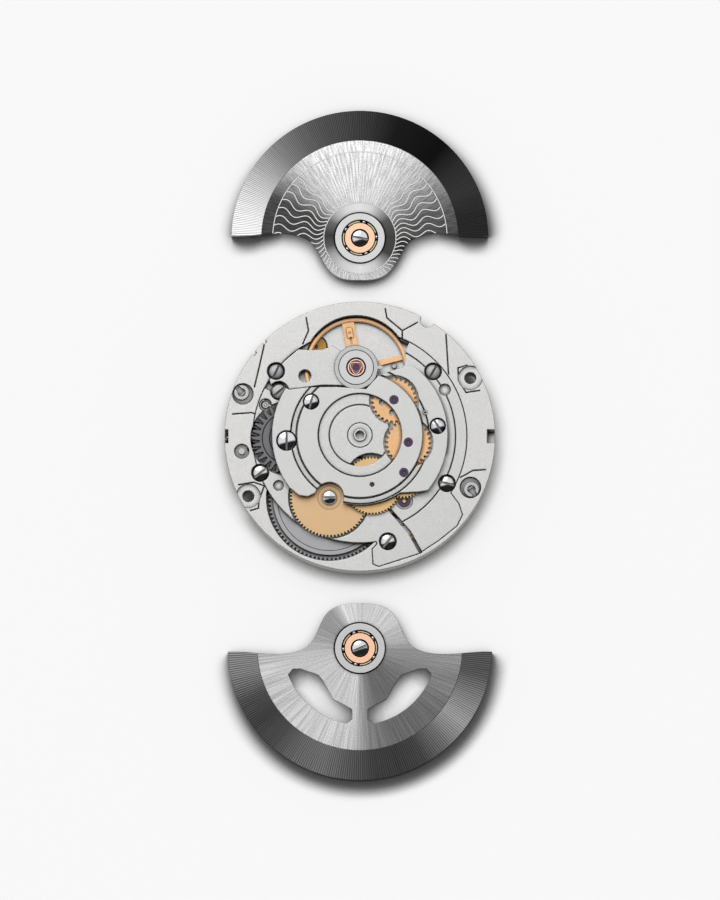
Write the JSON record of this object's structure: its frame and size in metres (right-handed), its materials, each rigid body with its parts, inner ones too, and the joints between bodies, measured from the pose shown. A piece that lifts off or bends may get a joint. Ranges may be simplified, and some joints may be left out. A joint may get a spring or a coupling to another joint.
{
  "type": "mechanical watch movement",
  "caption": "Round automatic watch movement with a centre seconds train, balance, barrel and keyless works, shown dial side down with its winding rotors taken off beside it.",
  "frame": {"origin": "on the axis of the centre seconds hand, at the end of the hand post, which is level with the surface the rotors lie on", "axes": "+Z away from the dial, up through the automatic bridge; -X along the winding stem to the outside; the rotors lie along +Y and -Y"},
  "size_m": [0.0256, 0.0638, 0.0054],
  "materials": {
    "amber": "polished amber coloured bush",
    "bridge": "sandblasted satin, pale nickel plating on brass",
    "dark_steel": "dark brushed steel",
    "gold": "gilt brass",
    "jewel": "polished synthetic ruby",
    "plate": "sandblasted satin, pale nickel plating on brass",
    "rose": "rose gilt",
    "rotor_plate": "wave engraved and polished",
    "rotor_rim": "fine radial brushing",
    "spring": "polished spring steel",
    "steel": "bright polished steel"
  },
  "bodies": {
    "frame": {"main_plate": "plate", "dial_cover": "plate", "barrel_bridge": "bridge", "train_bridge": "bridge", "balance_cock": "bridge", "auto_bridge": "bridge", "bridge_screws": "steel", "auto_bridge_screws": "steel", "train_jewels": "jewel", "auto_jewels": "jewel", "shock_blocks": "steel", "shock_setting": "rose", "regulator": "steel", "plate_bush": "amber", "locating_pins": "steel", "dial_locks": "steel", "pallet_bridge": "bridge", "click_spring": "spring", "rotor_a_plate": "rotor_plate", "rotor_a_weight": "rotor_rim", "rotor_a_outer_race": "steel", "rotor_b_plate": "rotor_plate", "rotor_b_weight": "rotor_rim", "rotor_b_outer_race": "steel"},
    "seconds_wheel": {"seconds_wheel": "gold"},
    "third_wheel": {"third_wheel": "gold"},
    "great_wheel": {"great_wheel": "gold"},
    "barrel": {"barrel_drum": "dark_steel", "barrel_cover": "dark_steel"},
    "escape_wheel": {"escape_wheel": "steel"},
    "cannon_pinion": {"cannon_pinion": "steel"},
    "minute_wheel": {"minute_wheel": "gold"},
    "hour_wheel": {"hour_wheel": "gold"},
    "setting_wheel": {"setting_wheel": "steel"},
    "reverser_1": {"reverser_1": "rose"},
    "reverser_2": {"reverser_2": "rose"},
    "intermediate_wheel": {"intermediate_wheel": "gold"},
    "reduction_wheel": {"reduction_wheel": "gold"},
    "ratchet": {"ratchet_wheel": "gold", "ratchet_screw": "steel", "barrel_arbor": "steel", "mainspring": "spring"},
    "crown_wheel": {"crown_wheel": "dark_steel"},
    "winding_pinion": {"winding_pinion": "steel"},
    "balance": {"balance_wheel": "gold", "balance_staff": "steel", "hairspring": "spring"},
    "pallets": {"pallet_fork": "steel", "pallet_stones": "jewel"},
    "click": {"click": "steel"},
    "stem": {"stem": "steel"},
    "sliding_pinion": {"sliding_pinion": "steel"},
    "setting_lever": {"setting_lever": "steel"},
    "yoke": {"yoke": "steel"},
    "rotor_a_core": {"rotor_a_inner_race": "rose", "rotor_a_screw": "steel"},
    "rotor_a_balls": {"rotor_a_balls": "steel"},
    "rotor_b_core": {"rotor_b_inner_race": "rose", "rotor_b_screw": "steel"},
    "rotor_b_balls": {"rotor_b_balls": "steel"}
  },
  "joints": [
    {"name": "seconds_spin", "type": "hinge", "parent": "frame", "child": "seconds_wheel", "pos_m": [0, 0, 0.0025], "axis": [0, 0, 1], "continuous": true},
    {"name": "third_spin", "type": "hinge", "parent": "frame", "child": "third_wheel", "pos_m": [0.00247, -0.00241, 0.0025], "axis": [0, 0, 1], "continuous": true},
    {"name": "great_spin", "type": "hinge", "parent": "frame", "child": "great_wheel", "pos_m": [0.00419, -0.00613, 0.0025], "axis": [0, 0, 1], "continuous": true},
    {"name": "barrel_spin", "type": "hinge", "parent": "frame", "child": "barrel", "pos_m": [-0.00287, -0.00584, 0.0025], "axis": [0, 0, 1], "continuous": true},
    {"name": "escape_spin", "type": "hinge", "parent": "frame", "child": "escape_wheel", "pos_m": [0.00242, 0.0014, 0.0025], "axis": [0, 0, 1], "continuous": true},
    {"name": "cannon_spin", "type": "hinge", "parent": "frame", "child": "cannon_pinion", "pos_m": [0, 0, 0.0016], "axis": [0, 0, 1], "continuous": true},
    {"name": "minute_spin", "type": "hinge", "parent": "frame", "child": "minute_wheel", "pos_m": [-0.0024, 0, 0.0015], "axis": [0, 0, 1], "continuous": true},
    {"name": "hour_spin", "type": "hinge", "parent": "frame", "child": "hour_wheel", "pos_m": [0, 0, 0.0014], "axis": [0, 0, 1], "continuous": true},
    {"name": "setting_spin", "type": "hinge", "parent": "frame", "child": "setting_wheel", "pos_m": [-0.0052, 0, 0.0015], "axis": [0, 0, 1], "continuous": true},
    {"name": "reverser_1_spin", "type": "hinge", "parent": "frame", "child": "reverser_1", "pos_m": [0.00322, 0.00332, 0.0047], "axis": [0, 0, 1], "continuous": true},
    {"name": "reverser_2_spin", "type": "hinge", "parent": "frame", "child": "reverser_2", "pos_m": [0.00458, -0.0007, 0.0047], "axis": [0, 0, 1], "continuous": true},
    {"name": "intermediate_spin", "type": "hinge", "parent": "frame", "child": "intermediate_wheel", "pos_m": [0.00415, -0.00357, 0.0044], "axis": [0, 0, 1], "continuous": true},
    {"name": "reduction_spin", "type": "hinge", "parent": "frame", "child": "reduction_wheel", "pos_m": [0.00115, -0.0047, 0.0042], "axis": [0, 0, 1], "continuous": true},
    {"name": "ratchet_spin", "type": "hinge", "parent": "frame", "child": "ratchet", "pos_m": [-0.00287, -0.00584, 0.0039], "axis": [0, 0, 1], "continuous": true, "deforming": ["mainspring"]},
    {"name": "crown_spin", "type": "hinge", "parent": "frame", "child": "crown_wheel", "pos_m": [-0.00679, -0.0002, 0.0039], "axis": [0, 0, 1], "continuous": true},
    {"name": "winding_pinion_spin", "type": "hinge", "parent": "frame", "child": "winding_pinion", "pos_m": [-0.01002, 0, 0.00255], "axis": [1, 0, 0], "continuous": true},
    {"name": "balance_swing", "type": "hinge", "parent": "frame", "child": "balance", "pos_m": [-0.00035, 0.00653, 0.00287], "axis": [0, 0, 1], "range_deg": [-300, 300], "stiffness_Nm_per_rad": 0.000000377, "deforming": ["hairspring"]},
    {"name": "pallet_rock", "type": "hinge", "parent": "frame", "child": "pallets", "pos_m": [0.00131, 0.00346, 0.00246], "axis": [0, 0, 1], "range_deg": [-5, 5]},
    {"name": "click_rock", "type": "hinge", "parent": "frame", "child": "click", "pos_m": [-0.00892, 0.00299, 0.0039], "axis": [0, 0, 1], "range_deg": [0, 8], "stiffness_Nm_per_rad": 0.000001},
    {"name": "stem_pull", "type": "slide", "parent": "frame", "child": "stem", "axis": [-1, 0, 0], "range_m": [0, 0.001]},
    {"name": "sliding_pinion_shift", "type": "slide", "parent": "frame", "child": "sliding_pinion", "axis": [1, 0, 0], "range_m": [0, 0.001]},
    {"name": "rotor_a_core_spin", "type": "hinge", "parent": "frame", "child": "rotor_a_core", "pos_m": [0, 0.0192, 0.0012], "axis": [0, 0, 1], "continuous": true},
    {"name": "rotor_a_balls_roll", "type": "hinge", "parent": "frame", "child": "rotor_a_balls", "pos_m": [0, 0.0192, 0.0014], "axis": [0, 0, 1], "continuous": true},
    {"name": "rotor_b_core_spin", "type": "hinge", "parent": "frame", "child": "rotor_b_core", "pos_m": [0, -0.01988, 0.0012], "axis": [0, 0, 1], "continuous": true},
    {"name": "rotor_b_balls_roll", "type": "hinge", "parent": "frame", "child": "rotor_b_balls", "pos_m": [0, -0.01988, 0.0014], "axis": [0, 0, 1], "continuous": true},
    {"name": "setting_lever_turn", "type": "hinge", "parent": "frame", "child": "setting_lever", "pos_m": [-0.00763, -0.00219, 0.0014], "axis": [0, 0, 1], "range_deg": [-14, 14]},
    {"name": "yoke_turn", "type": "hinge", "parent": "frame", "child": "yoke", "pos_m": [-0.00674, 0.00245, 0.0014], "axis": [0, 0, 1], "range_deg": [-14, 14]}
  ],
  "couplings": [
    {"joint": "third_spin", "follows": "seconds_spin", "ratio": -0.15},
    {"joint": "great_spin", "follows": "seconds_spin", "ratio": 0.016667},
    {"joint": "barrel_spin", "follows": "seconds_spin", "ratio": -0.0039773},
    {"joint": "escape_spin", "follows": "seconds_spin", "ratio": -9},
    {"joint": "cannon_spin", "follows": "seconds_spin", "ratio": 0.016667},
    {"joint": "minute_spin", "follows": "seconds_spin", "ratio": -0.0055556},
    {"joint": "hour_spin", "follows": "seconds_spin", "ratio": 0.0013889},
    {"joint": "setting_spin", "follows": "seconds_spin", "ratio": 0.01},
    {"joint": "reverser_2_spin", "follows": "reverser_1_spin", "ratio": -1},
    {"joint": "intermediate_spin", "follows": "reverser_1_spin", "ratio": 0.26087},
    {"joint": "reduction_spin", "follows": "reverser_1_spin", "ratio": -0.048309},
    {"joint": "ratchet_spin", "follows": "reverser_1_spin", "ratio": 0.0071043},
    {"joint": "crown_spin", "follows": "reverser_1_spin", "ratio": -0.0080515},
    {"joint": "winding_pinion_spin", "follows": "reverser_1_spin", "ratio": -0.017253},
    {"joint": "rotor_a_balls_roll", "follows": "rotor_a_core_spin", "ratio": 0.44937},
    {"joint": "rotor_b_balls_roll", "follows": "rotor_b_core_spin", "ratio": 0.44937},
    {"joint": "sliding_pinion_shift", "follows": "stem_pull", "ratio": 1},
    {"joint": "setting_lever_turn", "follows": "stem_pull", "rad_per_m": -209.44},
    {"joint": "yoke_turn", "follows": "stem_pull", "rad_per_m": 209.44}
  ]
}
